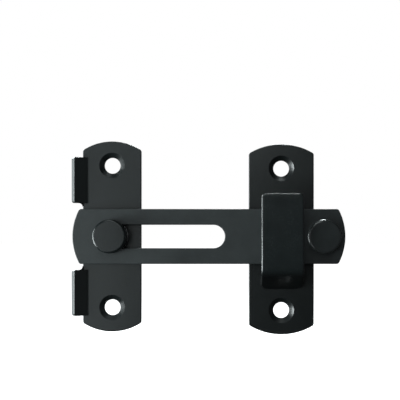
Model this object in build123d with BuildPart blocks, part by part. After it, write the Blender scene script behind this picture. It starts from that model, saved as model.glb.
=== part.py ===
"""Barn door bolt: a slotted bar that swings and slides on a stud, and a hooked keeper that it drops into.

Millimetres. +X runs along the closed bar, +Z is up and +Y points into the door.
The origin is the stud's axis on the back face of the base plate, midway between its two screws.
Depths are measured from the door's face towards the front, along -Y.
"""
import os
from math import cos, radians, sin, sqrt, tan

from build123d import *

# Stamped sheet: the punch leaves the front edges rounded and the back edges sharp
sheet = 1.8
edge_radius = 0.3
corner_radius = 1.0

# Both plates
plate_length = 60.0
screw_from_end = 7.6
screw_hole = 5.0
countersink = 8.0
countersink_angle = 90.0

# Bar
bar_thickness = 1.8
bar_width = 17.2
bar_length = 85.35
bar_tail = 12.05
bar_end_radius = 18.0
bar_travel = 32.0

# Stud, washer and knob
running_gap = 0.1
slot_clearance = 0.15
washer_thickness = 0.7
washer_wall = 1.6
shank_diameter = 7.0
head_diameter = 10.5
head_height = 4.0
head_rim_radius = 0.7
tail_diameter = 5.0
tail_clearance = 0.05
peen_rim = 0.9
knob_from_end = 6.8
knob_tail_diameter = 4.0
knob_peen_rim = 0.8
rivet_clearance = 0.02

# Base plate and its two tabs, which stand beside the bar's tail and beside the bar when it is upright
base_end_radius = 16.7
base_lip = 1.9
tab_notch_clearance = 1.9
tab_notch_radius = 1.1
tab_upright_clearance = 0.2
tab_from_shoulder = 2.3
tab_bend_radius = 1.2
tab_bend_angle = 36.0
tab_reach = 4.2
tab_corner_radius = 0.8

# Keeper plate and hook
keeper_width = 20.5
keeper_end_radius = 19.5
keeper_drop = 0.9
hook_thickness = 1.8
hook_width = 13.0
hook_above_bar = 5.45
hook_below_bar = 7.4
hook_bend_radius = 1.0
hook_bend_angle = 58.6
hook_corner_radius = 1.4
hook_foot_corner_radius = 2.4
hook_edge_radius = 0.5
hook_to_knob = 1.35
knob_pass_gap = 0.5

# Depths in front of the door
washer_back = sheet + running_gap
bar_back = washer_back + washer_thickness + running_gap
bar_front = bar_back + bar_thickness
head_back = bar_front + running_gap
head_front = head_back + head_height
knob_front = bar_front + head_height
hook_back = knob_front + knob_pass_gap
hook_front = hook_back + hook_thickness

# Places along the bar
bar_end_x = bar_length - bar_tail
knob_x = bar_end_x - knob_from_end
keeper_x = knob_x - head_diameter / 2 - hook_to_knob - hook_width / 2
slot_width = shank_diameter + 2 * slot_clearance
screw_spacing = plate_length - 2 * screw_from_end

# The tabs' bend line: the tab's inner face just clears the back edge of the upright bar
bend_sin = sin(radians(tab_bend_angle))
bend_cos = cos(radians(tab_bend_angle))
bend_rise = tab_bend_radius * (1 - bend_cos)
bar_lift = bar_back - sheet
tab_bend_x = (
    -bar_width / 2
    + tab_bend_radius * bend_sin
    + ((bar_lift - bend_rise) * bend_cos - tab_upright_clearance) / bend_sin
)
base_width = 2 * (base_lip - tab_bend_x)


def shoulder_height(width, length, end_radius):
    """Where an outline's straight sides meet its bowed ends, measured from its middle."""
    return length / 2 - end_radius + sqrt(end_radius**2 - (width / 2) ** 2)


def bowed_outline(width, length, end_radius):
    """Upright outline with straight sides, ends bowed outward and small rounded corners."""
    side = width / 2
    tip = length / 2
    shoulder = shoulder_height(width, length, end_radius)
    with BuildSketch() as outline:
        with BuildLine():
            Line((-side, -shoulder), (-side, shoulder))
            ThreePointArc((-side, shoulder), (0, tip), (side, shoulder))
            Line((side, shoulder), (side, -shoulder))
            ThreePointArc((side, -shoulder), (0, -tip), (-side, -shoulder))
        make_face()
        fillet(outline.vertices(), radius=corner_radius)
    return outline.sketch


def front_plane(x, depth, z):
    """Plane parallel to the door at a depth in front of it, seen from the front."""
    return Plane(origin=(x, -depth, z), x_dir=(1, 0, 0), z_dir=(0, -1, 0))


def depth_section(x, z):
    """Section plane seen from above: local x is +X, local y is the depth in front of the door."""
    return Plane(origin=(x, 0, z), x_dir=(1, 0, 0), z_dir=(0, 0, -1))


base_outline = bowed_outline(base_width, plate_length, base_end_radius)
keeper_outline = bowed_outline(keeper_width, plate_length, keeper_end_radius)
bar_outline = bowed_outline(bar_width, bar_length, bar_end_radius)

# Upper tab of the base plate: bent forward from the plate's left edge, with a rounded notch beside the bar
tab_start = bar_width / 2 + tab_notch_clearance
tab_stop = shoulder_height(base_width, plate_length, base_end_radius) - tab_from_shoulder
with BuildPart() as tab:
    with BuildSketch(depth_section(tab_bend_x, tab_stop)):
        with BuildLine():
            bend = JernArc((0, sheet), (-1, 0), tab_bend_radius, -tab_bend_angle)
            PolarLine(bend @ 1, tab_reach, direction=bend % 1)
            offset(amount=sheet, side=Side.LEFT)
        make_face()
    extrude(amount=tab_stop - tab_start + tab_notch_radius)
    with BuildSketch(Plane.XZ) as notch:
        with Locations((-base_width / 2, tab_start)):
            Rectangle(base_width, 2 * tab_notch_radius, align=Align.MAX)
            fillet(notch.vertices().group_by(Axis.Y)[-1].sort_by(Axis.X)[-1], radius=tab_notch_radius)
            Rectangle(base_width / 2, 2 * tab_notch_radius, align=(Align.MIN, Align.MAX))
    extrude(amount=bar_front + tab_reach, mode=Mode.SUBTRACT)
    free_end = tab.faces().sort_by(Axis.X)[0]
    fillet(free_end.edges().filter_by(Axis.Z, reverse=True), radius=tab_corner_radius)
    free_end = tab.faces().sort_by(Axis.X)[0]
    fillet(free_end.edges().filter_by(Axis.Z).sort_by(Axis.Y)[0], radius=edge_radius)

# Base plate: the flat blank, with the two tabs in place of cut-outs at its left edge
with BuildPart() as base_plate:
    with BuildSketch(Plane.XZ):
        add(base_outline)
    extrude(amount=sheet)
    fillet(base_plate.edges().group_by(Axis.Y)[0], radius=edge_radius)
    with BuildSketch(Plane.XZ):
        with Locations((tab_bend_x, tab_start), (tab_bend_x, -tab_stop)):
            Rectangle(base_width, tab_stop - tab_start, align=(Align.MAX, Align.MIN))
    extrude(amount=sheet, mode=Mode.SUBTRACT)
    add(tab.part)
    mirror(tab.part, about=Plane.XY)
    with Locations(Plane.XZ.offset(sheet)):
        with GridLocations(0, screw_spacing, 1, 2):
            CounterSinkHole(
                screw_hole / 2, countersink / 2, depth=sheet, counter_sink_angle=countersink_angle
            )
    tail_hole = tail_diameter / 2 + tail_clearance
    with Locations(-Plane.XZ):
        CounterSinkHole(tail_hole, tail_hole + peen_rim, depth=sheet, counter_sink_angle=countersink_angle)
base_plate.part.label = "base_plate"

# Pivot stud: turned, with its tail peened into the back of the base plate
with BuildPart() as pivot_stud:
    with BuildSketch(depth_section(0, 0)):
        with BuildLine():
            Polyline(
                (0, 0),
                (tail_diameter / 2 + peen_rim, 0),
                (tail_diameter / 2, peen_rim),
                (tail_diameter / 2, washer_back),
                (shank_diameter / 2, washer_back),
                (shank_diameter / 2, head_back),
                (head_diameter / 2, head_back),
                (head_diameter / 2, head_front),
                (0, head_front),
                close=True,
            )
        make_face()
    revolve(axis=Axis.Y)
    fillet(pivot_stud.edges().group_by(Axis.Y)[0], radius=head_rim_radius)
pivot_stud.part.label = "pivot_stud"

# Spacer washer: holds the bar off the plate, clear of the bends at the tabs
with BuildPart() as spacer_washer:
    washer_bore = shank_diameter / 2 + running_gap
    with BuildSketch(Plane.XZ.offset(washer_back)):
        Circle(washer_bore + washer_wall)
        Circle(washer_bore, mode=Mode.SUBTRACT)
    extrude(amount=washer_thickness)
spacer_washer.part.label = "spacer_washer"

# Bar: the stud stands at the left end of the slot when the bar is closed
with BuildPart() as bolt_bar:
    with BuildSketch(Plane.XZ.offset(bar_back)):
        with Locations((bar_length / 2 - bar_tail, 0)):
            add(bar_outline, rotation=90)
        with Locations((bar_travel / 2, 0)):
            SlotCenterToCenter(bar_travel, slot_width, mode=Mode.SUBTRACT)
    extrude(amount=bar_thickness)
    fillet(bolt_bar.edges().group_by(Axis.Y)[0], radius=edge_radius)
    rivet_hole = knob_tail_diameter / 2 + rivet_clearance
    with Locations(-front_plane(knob_x, bar_back, 0)):
        CounterSinkHole(
            rivet_hole, rivet_hole + knob_peen_rim, depth=bar_thickness, counter_sink_angle=countersink_angle
        )
bolt_bar.part.label = "bolt_bar"

# Pull knob: turned, riveted flush at the back of the bar
with BuildPart() as pull_knob:
    with BuildSketch(depth_section(knob_x, 0)):
        with BuildLine():
            Polyline(
                (0, bar_back),
                (knob_tail_diameter / 2 + knob_peen_rim, bar_back),
                (knob_tail_diameter / 2, bar_back + knob_peen_rim),
                (knob_tail_diameter / 2, bar_front),
                (head_diameter / 2, bar_front),
                (head_diameter / 2, knob_front),
                (0, knob_front),
                close=True,
            )
        make_face()
    revolve(axis=Axis((knob_x, 0, 0), (0, 1, 0)))
    fillet(pull_knob.edges().group_by(Axis.Y)[0], radius=head_rim_radius)
pull_knob.part.label = "pull_knob"

# Keeper plate
with BuildPart() as keeper_plate:
    with BuildSketch(front_plane(keeper_x, 0, -keeper_drop)):
        add(keeper_outline)
    extrude(amount=sheet)
    fillet(keeper_plate.edges().group_by(Axis.Y)[0], radius=edge_radius)
    with Locations(front_plane(keeper_x, sheet, -keeper_drop)):
        with GridLocations(0, screw_spacing, 1, 2):
            CounterSinkHole(
                screw_hole / 2, countersink / 2, depth=sheet, counter_sink_angle=countersink_angle
            )
keeper_plate.part.label = "keeper_plate"

# Keeper hook: one strap, upright in front of the bar, its slanted foot cut flush to the keeper plate
hook_top = bar_width / 2 + hook_above_bar
hook_foot = bar_width / 2 + hook_below_bar
foot_slope = tan(radians(90 - hook_bend_angle))
hook_knee = -hook_foot + (hook_front - sheet) * foot_slope
hook_side = Plane(
    origin=(keeper_x + hook_width / 2, 0, -keeper_drop), x_dir=(0, -1, 0), z_dir=(-1, 0, 0)
)
with BuildPart() as keeper_hook:
    with BuildSketch(hook_side):
        with BuildLine():
            FilletPolyline(
                (hook_front, hook_top),
                (hook_front, hook_knee),
                (0, hook_knee - hook_front * foot_slope),
                radius=hook_bend_radius + hook_thickness,
            )
            offset(amount=hook_thickness, side=Side.RIGHT)
        make_face()
    extrude(amount=hook_width)
    split(bisect_by=Plane.XZ.offset(sheet), keep=Keep.TOP)
    top_corners = keeper_hook.edges().filter_by(Axis.Y).group_by(Axis.Z)[-1]
    fillet(top_corners, radius=hook_corner_radius)
    foot_end = keeper_hook.faces().sort_by(Axis.Y)[-1]
    fillet(foot_end.edges().filter_by(Axis.Z), radius=hook_foot_corner_radius)
    top_end = keeper_hook.faces().sort_by(Axis.Z)[-1]
    fillet(top_end.edges().filter_by(Axis.X).sort_by(Axis.Y)[0], radius=hook_edge_radius)
keeper_hook.part.label = "keeper_hook"

os.makedirs("parts", exist_ok=True)
for piece in (base_plate, pivot_stud, spacer_washer, bolt_bar, pull_knob, keeper_plate, keeper_hook):
    export_step(piece.part, f"parts/{piece.part.label}.step")
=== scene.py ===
"""Looks of the barn door bolt: satin black coating, studio light and the photograph's camera."""
import math

import bpy
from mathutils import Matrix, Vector


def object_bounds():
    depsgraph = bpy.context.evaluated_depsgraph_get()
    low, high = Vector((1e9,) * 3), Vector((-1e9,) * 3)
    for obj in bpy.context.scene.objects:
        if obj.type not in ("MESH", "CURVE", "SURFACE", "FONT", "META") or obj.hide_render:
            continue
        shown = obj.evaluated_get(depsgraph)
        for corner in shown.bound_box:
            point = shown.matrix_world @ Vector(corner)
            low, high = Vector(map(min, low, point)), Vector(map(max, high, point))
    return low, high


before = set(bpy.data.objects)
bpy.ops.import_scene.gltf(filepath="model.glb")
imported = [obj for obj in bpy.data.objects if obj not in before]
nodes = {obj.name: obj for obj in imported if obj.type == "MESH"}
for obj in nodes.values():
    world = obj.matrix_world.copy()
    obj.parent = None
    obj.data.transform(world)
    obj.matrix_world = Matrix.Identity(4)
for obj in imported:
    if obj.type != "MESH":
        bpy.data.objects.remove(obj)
cad_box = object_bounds()

scene = bpy.context.scene
scene.view_settings.view_transform = "Standard"

# Lengths are in metres and colours are linear
BLACK = (0.0085, 0.0117, 0.0122, 1.0)
CHARCOAL = (0.0305, 0.0358, 0.0368, 1.0)
STEEL_DARK = (0.30, 0.30, 0.31, 1.0)
STEEL_LIGHT = (0.40, 0.40, 0.41, 1.0)
WHITE = (1.0, 1.0, 1.0, 1.0)

# Coating: noise scales, and how far tone and roughness spread about their means
CLOUD_SCALE = 70.0
PEEL_SCALE = 1900.0
GRAIN_SCALE = 7000.0
CLOUD_SHARE = 0.7
TONE_SPREAD = 0.2
GLOSS_SPREAD = 0.03
CLEAR_ROUGHNESS = 0.12
NOISE_LOW, NOISE_HIGH = 0.3, 0.7
MOTTLE_LOW, MOTTLE_HIGH = 0.35, 0.65

# The hook's slanted foot: painted shade darkens and dulls its coating below FOOT_TOP, so that the
# foot reads nearly black
FOOT_TOP = -0.0115
FOOT_FADE = 0.001
FOOT_SHADE_TONE = 0.2
FOOT_ROUGHNESS = 0.36

# Turned steel of the washer
RING_SCALE = 9000.0
STAIN_SCALE = 400.0
STEEL_ROUGHNESS = (0.28, 0.42)

# Light
MIDDLE = (0.03, 0.0, 0.0)
LAMP_TINT = (0.92, 1.0, 1.01)
ROOM_LIGHT = (0.16, 0.16, 0.16, 1.0)
ROOM_MIRRORED = (0.02, 0.02, 0.02, 1.0)
BEHIND_FROM = 0.85

# Floor: the white that the camera sees grows from the near level to the far one
FLOOR_DROP = 0.025
FLOOR_HALF = 6.0
FLOOR_MATTE = (0.8, 0.8, 0.8, 1.0)
FLOOR_NEAR, FLOOR_FAR = 0.10, 0.50
GLOW_NEAR, GLOW_FAR = 0.93, 1.0


def new_material(name):
    material = bpy.data.materials.new(name)
    material.use_nodes = True
    tree = material.node_tree
    tree.nodes.clear()
    return material, tree


def add(tree, kind, inputs=None, **values):
    """A node with its properties set, and its inputs, by name or number, set or linked."""
    node = tree.nodes.new(kind)
    for key, value in values.items():
        setattr(node, key, value)
    for socket, value in (inputs or {}).items():
        if isinstance(value, bpy.types.NodeSocket):
            tree.links.new(value, node.inputs[socket])
        else:
            node.inputs[socket].default_value = value
    return node


def noise(tree, vector, scale, detail=2.0, roughness=0.5):
    node = add(
        tree,
        "ShaderNodeTexNoise",
        {"Vector": vector, "Scale": scale, "Detail": detail, "Roughness": roughness},
    )
    return node.outputs["Fac"]


def remap(tree, value, low, high, to_low, to_high):
    node = add(
        tree,
        "ShaderNodeMapRange",
        {"Value": value, "From Min": low, "From Max": high, "To Min": to_low, "To Max": to_high},
    )
    return node.outputs["Result"]


def combine(tree, operation, a, b):
    return add(tree, "ShaderNodeMath", {0: a, 1: b}, operation=operation).outputs["Value"]


def blend_colours(tree, fac, a, b):
    node = add(tree, "ShaderNodeMix", data_type="RGBA")
    tree.links.new(fac, node.inputs["Factor"])
    colours = [socket for socket in node.inputs if socket.type == "RGBA"]
    for socket, value in zip(colours, (a, b)):
        if isinstance(value, tuple):
            socket.default_value = value
        else:
            tree.links.new(value, socket)
    return next(socket for socket in node.outputs if socket.type == "RGBA")


def bump(tree, height, strength, distance, normal=None):
    node = add(
        tree, "ShaderNodeBump", {"Height": height, "Strength": strength, "Distance": distance}
    )
    if normal is not None:
        tree.links.new(normal, node.inputs["Normal"])
    return node.outputs["Normal"]


def scaled(colour, factor):
    return tuple(channel * factor for channel in colour[:3]) + (1.0,)


def coating(name, tone, rough, specular, clear, offset, shade_below=None):
    """Satin black coating: cloudy tone, fine orange peel, uneven gloss and a thin clear top.

    offset moves the noise, so that no two pieces look alike. Below the height in the last argument,
    painted shade darkens the coating, and the coating is also made duller.
    """
    material, tree = new_material(name)
    place = add(tree, "ShaderNodeTexCoord").outputs["Object"]
    spot = add(tree, "ShaderNodeMapping", {"Vector": place, "Location": offset}).outputs["Vector"]
    cloud = noise(tree, spot, CLOUD_SCALE, detail=4.0, roughness=0.6)
    peel = noise(tree, spot, PEEL_SCALE, detail=1.0)
    grain = noise(tree, spot, GRAIN_SCALE, detail=2.0, roughness=0.6)
    mottle = combine(
        tree,
        "ADD",
        combine(tree, "MULTIPLY", cloud, CLOUD_SHARE),
        combine(tree, "MULTIPLY", grain, 1.0 - CLOUD_SHARE),
    )
    colour = blend_colours(
        tree,
        remap(tree, mottle, MOTTLE_LOW, MOTTLE_HIGH, 0.0, 1.0),
        scaled(tone, 1.0 - TONE_SPREAD),
        scaled(tone, 1.0 + TONE_SPREAD),
    )
    gloss = combine(
        tree,
        "ADD",
        remap(tree, cloud, NOISE_LOW, NOISE_HIGH, rough - GLOSS_SPREAD, rough + GLOSS_SPREAD),
        remap(tree, grain, NOISE_LOW, NOISE_HIGH, -GLOSS_SPREAD, GLOSS_SPREAD),
    )
    # Painted shade: below this height the tone is darkened and the gloss dulled
    if shade_below is not None:
        height = add(tree, "ShaderNodeSeparateXYZ", {"Vector": place}).outputs["Z"]
        above = remap(tree, height, shade_below - FOOT_FADE, shade_below + FOOT_FADE, 0.0, 1.0)
        colour = blend_colours(tree, above, scaled(tone, FOOT_SHADE_TONE), colour)
        dull = remap(tree, above, 0.0, 1.0, FOOT_ROUGHNESS, 0.0)
        gloss = combine(tree, "MAXIMUM", gloss, dull)
    relief = bump(tree, peel, strength=0.25, distance=0.00002)
    relief = bump(tree, grain, strength=0.2, distance=0.000008, normal=relief)
    shader = add(
        tree,
        "ShaderNodeBsdfPrincipled",
        {
            "Base Color": colour,
            "Roughness": gloss,
            "Normal": relief,
            "Specular IOR Level": specular,
            "Coat Weight": clear,
            "Coat Roughness": CLEAR_ROUGHNESS,
        },
    )
    add(tree, "ShaderNodeOutputMaterial", {"Surface": shader.outputs["BSDF"]})
    return material


def steel(name):
    """Plain turned steel: fine rings about the stud's axis."""
    material, tree = new_material(name)
    place = add(tree, "ShaderNodeTexCoord").outputs["Object"]
    parts = add(tree, "ShaderNodeSeparateXYZ", {"Vector": place})
    flat = add(tree, "ShaderNodeCombineXYZ", {"X": parts.outputs["X"], "Z": parts.outputs["Z"]})
    reach = add(tree, "ShaderNodeVectorMath", {0: flat.outputs["Vector"]}, operation="LENGTH")
    ring = add(tree, "ShaderNodeCombineXYZ", {"X": reach.outputs["Value"]})
    rings = noise(tree, ring.outputs["Vector"], RING_SCALE, detail=2.0)
    stain = noise(tree, place, STAIN_SCALE, detail=3.0)
    shader = add(
        tree,
        "ShaderNodeBsdfPrincipled",
        {
            "Base Color": blend_colours(tree, stain, STEEL_DARK, STEEL_LIGHT),
            "Metallic": 1.0,
            "Roughness": remap(tree, rings, NOISE_LOW, NOISE_HIGH, *STEEL_ROUGHNESS),
            "Normal": bump(tree, rings, strength=0.3, distance=0.00001),
        },
    )
    add(tree, "ShaderNodeOutputMaterial", {"Surface": shader.outputs["BSDF"]})
    return material


def dress(node, material):
    mesh = nodes[node].data
    mesh.materials.clear()
    mesh.materials.append(material)


def make_camera():
    """Level with the bar, the frame shifted up and to the left of its axis."""
    data = bpy.data.cameras.new("camera")
    data.sensor_width = 36.0
    data.lens = 78.84
    data.shift_x = -0.09
    data.shift_y = 0.0925
    data.clip_start = 0.01
    camera = bpy.data.objects.new("camera", data)
    camera.location = (0.0391, -0.278, -0.00016)
    camera.rotation_euler = (math.radians(90), 0, 0)
    scene.collection.objects.link(camera)
    scene.camera = camera


def panel(name, place, width, height, power):
    """Soft rectangular lamp, aimed at the middle of the part."""
    data = bpy.data.lights.new(name, "AREA")
    data.shape = "RECTANGLE"
    data.size = width
    data.size_y = height
    data.energy = power
    data.color = LAMP_TINT
    lamp = bpy.data.objects.new(name, data)
    lamp.location = place
    lamp.rotation_euler = (Vector(MIDDLE) - Vector(place)).to_track_quat("-Z", "Y").to_euler()
    lamp.visible_camera = False
    scene.collection.objects.link(lamp)


def camera_sees(tree, path):
    """1 for a ray from the camera, also through glass, and else 0."""
    rays = path.outputs
    return combine(tree, "MAXIMUM", rays["Is Camera Ray"], rays["Is Transmission Ray"])


def make_world():
    """White to the camera, and behind the part to what mirrors it; a dim room in front."""
    world = bpy.data.worlds.new("studio")
    scene.world = world
    world.use_nodes = True
    tree = world.node_tree
    tree.nodes.clear()
    path = add(tree, "ShaderNodeLightPath")
    glossy = path.outputs["Is Glossy Ray"]
    direction = add(tree, "ShaderNodeTexCoord").outputs["Generated"]
    way = add(tree, "ShaderNodeSeparateXYZ", {"Vector": direction})
    behind = remap(tree, way.outputs["Y"], BEHIND_FROM, 1.0, 0.0, 1.0)
    mirrored = combine(tree, "MULTIPLY", glossy, behind)
    bright = combine(tree, "MAXIMUM", camera_sees(tree, path), mirrored)
    room = blend_colours(tree, glossy, ROOM_LIGHT, ROOM_MIRRORED)
    sky = blend_colours(tree, bright, room, WHITE)
    background = add(tree, "ShaderNodeBackground", {"Color": sky})
    add(tree, "ShaderNodeOutputWorld", {"Surface": background.outputs["Background"]})


def make_floor():
    """Pale, under the upright bar's lower end, white away from the part, open to lamps below it."""
    level = cad_box[0][2] - FLOOR_DROP
    corners = [(-1, -1), (1, -1), (1, 1), (-1, 1)]
    mesh = bpy.data.meshes.new("floor")
    mesh.from_pydata(
        [(FLOOR_HALF * x, FLOOR_HALF * y, level) for x, y in corners], [], [(0, 1, 2, 3)]
    )
    floor = bpy.data.objects.new("floor", mesh)
    scene.collection.objects.link(floor)
    floor.visible_diffuse = False
    floor.visible_glossy = False
    floor.visible_shadow = False
    material, tree = new_material("floor_white")
    path = add(tree, "ShaderNodeLightPath")
    place = add(tree, "ShaderNodeTexCoord").outputs["Object"]
    centre = (MIDDLE[0], MIDDLE[1], level)
    away = add(tree, "ShaderNodeVectorMath", {0: place, 1: centre}, operation="DISTANCE")
    whiteness = remap(tree, away.outputs["Value"], FLOOR_NEAR, FLOOR_FAR, GLOW_NEAR, GLOW_FAR)
    strength = combine(tree, "MULTIPLY", camera_sees(tree, path), whiteness)
    glow = add(tree, "ShaderNodeEmission", {"Strength": strength})
    matte = add(tree, "ShaderNodeBsdfDiffuse", {"Color": FLOOR_MATTE})
    both = add(tree, "ShaderNodeAddShader", {0: matte.outputs["BSDF"], 1: glow.outputs["Emission"]})
    add(tree, "ShaderNodeOutputMaterial", {"Surface": both.outputs["Shader"]})
    mesh.materials.append(material)
    return floor


# Coatings: name, tone, roughness, specular level, weight of the clear top, offset of the noise
plate_coat = coating("plate_coat", BLACK, 0.32, 0.60, 0.05, (0.0, 0.0, 0.0))
# Painted shade: the keeper plate takes the plates' black darkened to 0.6
keeper_shaded_coat = coating("keeper_shaded_coat", scaled(BLACK, 0.6), 0.32, 0.60, 0.05, (0.61, 0.07, 0.23))
bar_coat = coating("bar_coat", CHARCOAL, 0.38, 0.34, 0.05, (0.13, 0.02, 0.07))
stud_coat = coating("stud_coat", scaled(BLACK, 0.9), 0.24, 0.38, 0.25, (0.31, 0.05, 0.11))
# Painted light: the knob takes a lighter charcoal tone than the stud's black
knob_lit_coat = coating("knob_lit_coat", scaled(CHARCOAL, 0.67), 0.22, 0.50, 0.4, (0.22, 0.03, 0.29))
# The hook's foot gets painted shade below FOOT_TOP
hook_coat = coating(
    "hook_coat", scaled(BLACK, 1.2), 0.24, 0.50, 0.50, (0.47, 0.09, 0.17), shade_below=FOOT_TOP
)
dress("base_plate", plate_coat)
dress("keeper_plate", keeper_shaded_coat)
dress("bolt_bar", bar_coat)
dress("pivot_stud", stud_coat)
dress("pull_knob", knob_lit_coat)
dress("keeper_hook", hook_coat)
dress("spacer_washer", steel("washer_steel"))

make_camera()

# Lamps: name, place, width, height, watts
panel("front_panel", (-0.20, -0.36, 0.0), 0.10, 0.17, 0.075)
panel("front_soft", (-0.09, -0.36, -0.03), 0.10, 0.22, 0.072)
panel("front_upper", (0.025, -0.36, 0.14), 0.08, 0.17, 0.08)
panel("low_front", (-0.20, -0.36, -0.26), 0.10, 0.10, 0.10)
panel("left_panel", (-0.32, 0.01, -0.02), 0.36, 0.34, 1.3)
panel("left_strip", (-0.32, -0.025, -0.02), 0.04, 0.24, 0.75)
panel("left_front", (-0.30, -0.17, -0.08), 0.16, 0.16, 1.06)
panel("left_upper", (-0.18, 0.24, 0.18), 0.16, 0.16, 0.9)
panel("top_panel", (-0.06, -0.25, 0.34), 0.20, 0.18, 0.30)
panel("top_back", (0.075, 0.20, 0.32), 0.08, 0.12, 1.3)
panel("right_fill", (0.42, -0.16, 0.0), 0.20, 0.30, 0.02)

make_world()
make_floor()
